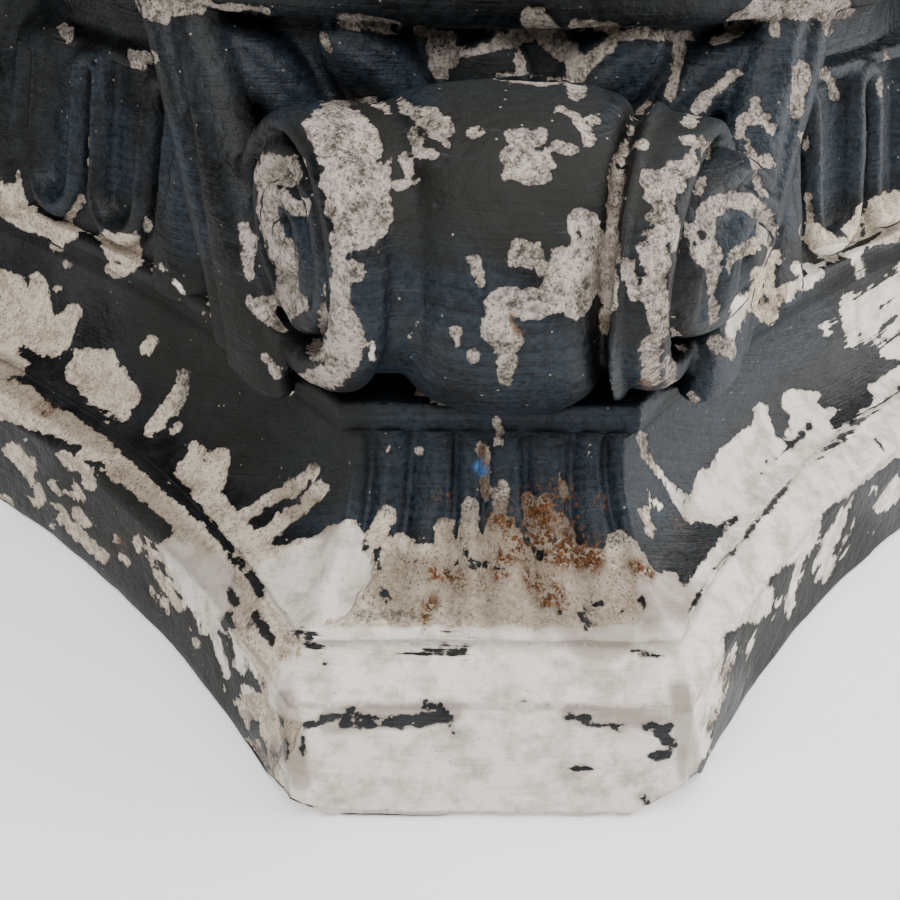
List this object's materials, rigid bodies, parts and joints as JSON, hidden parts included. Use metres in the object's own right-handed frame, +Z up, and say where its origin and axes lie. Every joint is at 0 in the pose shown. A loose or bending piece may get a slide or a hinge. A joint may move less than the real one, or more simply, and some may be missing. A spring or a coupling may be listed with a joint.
{
  "type": "plaster column base",
  "caption": "Painted plaster column base: hollow-sided slab with cut-off corners, fluted corner leaves, corner scrolls, a ring of tongues and a round seat for the column.",
  "frame": {"origin": "middle of the underside of the foot slab, on the axis of the column", "axes": "+Z up along the axis of the column; the hollow sides of the slab face +X, -X, +Y and -Y"},
  "size_m": [0.427, 0.427, 0.1884],
  "materials": {
    "painted_plaster": "satin"
  },
  "bodies": {
    "root": {"column_base": "painted_plaster"}
  },
  "joints": []
}
